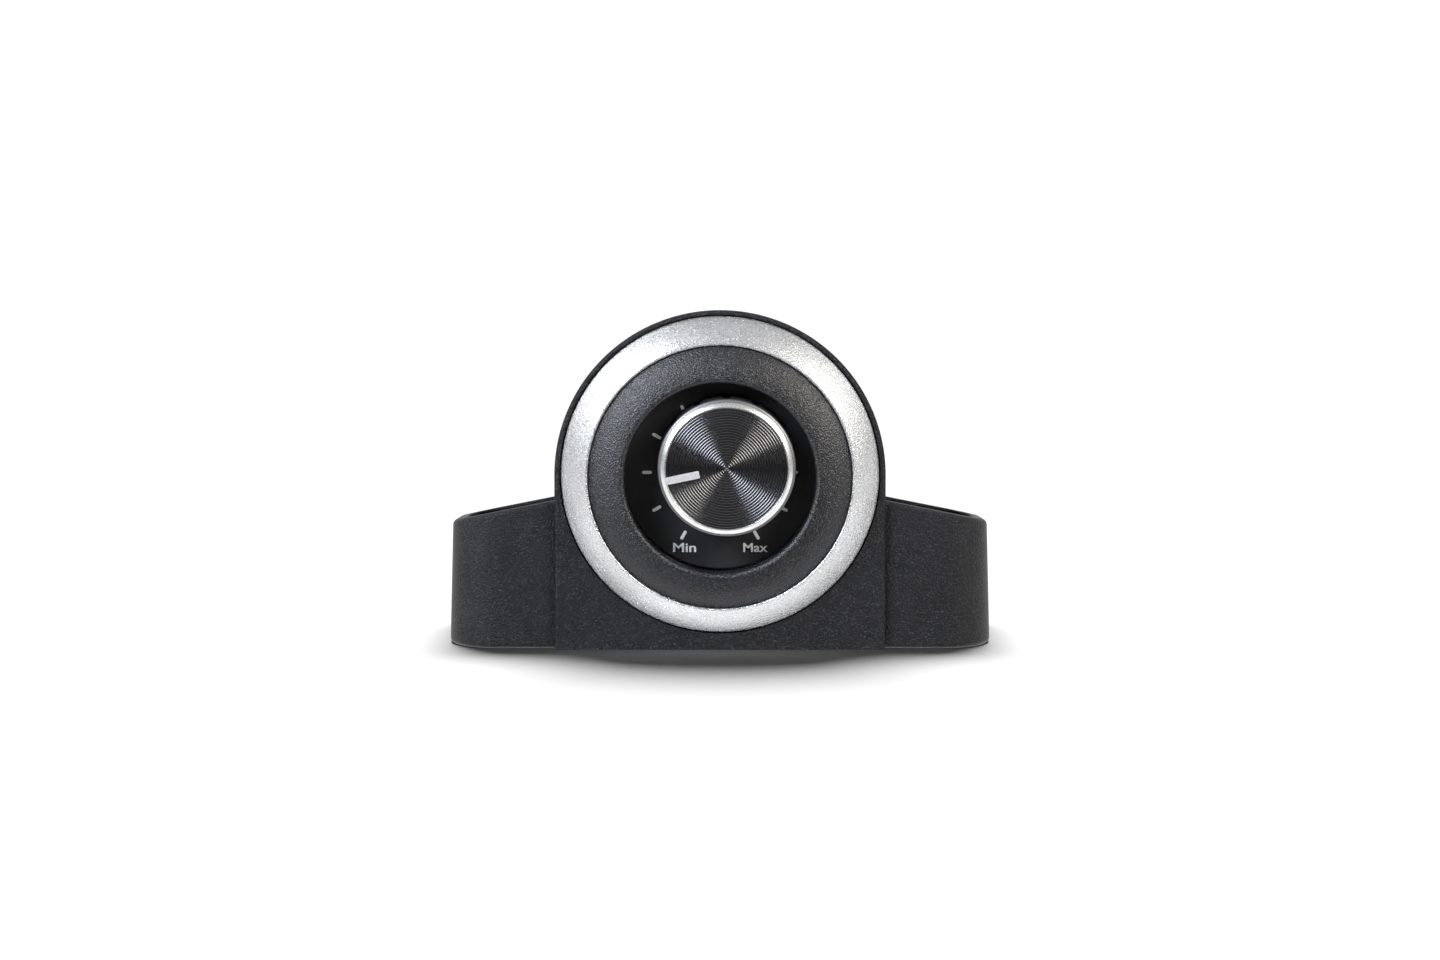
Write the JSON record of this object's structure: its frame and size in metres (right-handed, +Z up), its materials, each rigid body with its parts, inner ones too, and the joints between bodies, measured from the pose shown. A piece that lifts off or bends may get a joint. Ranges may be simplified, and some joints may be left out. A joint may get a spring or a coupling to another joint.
{
  "type": "trailer brake controller",
  "caption": "Dash-mounted trailer brake controller head: arched black pod with pocketed screw wings, silver trim ring and a rotary gain knob in a sunk dial reading Min to Max.",
  "frame": {"origin": "centre of the bounding box footprint, on the flat base, at the height it stands on", "axes": "+X to the right seen from the front along the wings, +Y from the dial face towards the rear socket, +Z up"},
  "size_m": [0.0678, 0.0358, 0.0425],
  "materials": {
    "housing_plastic": "fine spark-eroded mould texture, black",
    "bezel_plastic": "fine mould texture, black, slightly glossier than the housing",
    "dial_plate": "smooth satin black with printed light grey scale",
    "silver_trim": "metallic silver paint with fine flake",
    "knob_aluminium": "black anodised, concentrically turned face, bright cut chamfer",
    "index_white": "white index bar",
    "black_nylon": "moulded nylon",
    "zinc_steel": "zinc plated",
    "nickelled_brass": "nickel plated",
    "phenolic": "brown phenolic laminate",
    "board_laminate": "green solder mask",
    "chip_epoxy": "moulded epoxy",
    "capacitor_sleeve": "bare can with printed band",
    "tinned_contact": "tin plated"
  },
  "bodies": {
    "housing": {"base_plate": "housing_plastic", "base_screw_1": "zinc_steel", "base_screw_2": "zinc_steel", "base_screw_3": "zinc_steel", "base_screw_4": "zinc_steel", "bezel_screw_1": "zinc_steel", "bezel_screw_2": "zinc_steel", "bezel_screw_3": "zinc_steel", "board_screw_1": "zinc_steel", "board_screw_2": "zinc_steel", "cable_socket": "black_nylon", "capacitor_1": "capacitor_sleeve", "capacitor_2": "capacitor_sleeve", "circuit_board": "board_laminate", "controller_chip": "chip_epoxy", "dial_bezel": "bezel_plastic", "dial_plate": "dial_plate", "housing_shell": "housing_plastic", "pot_bushing": "nickelled_brass", "pot_can": "zinc_steel", "pot_nut": "nickelled_brass", "pot_terminal_1": "tinned_contact", "pot_terminal_2": "tinned_contact", "pot_terminal_3": "tinned_contact", "pot_wafer": "phenolic", "pot_washer": "zinc_steel", "power_transistor_1": "chip_epoxy", "power_transistor_2": "chip_epoxy", "silver_ring": "silver_trim", "socket_pin_1": "tinned_contact", "socket_pin_2": "tinned_contact", "socket_pin_3": "tinned_contact", "socket_pin_4": "tinned_contact"},
    "knob": {"knob_cap": "knob_aluminium", "knob_core": "black_nylon", "knob_pointer": "index_white", "knob_set_screw": "zinc_steel", "pot_shaft": "zinc_steel", "pot_wiper": "black_nylon"}
  },
  "joints": [
    {"name": "knob_turn", "type": "hinge", "parent": "housing", "child": "knob", "pos_m": [0.00083, -0.0131, 0.0233], "axis": [0, 1, 0], "range_deg": [-48, 252]}
  ]
}
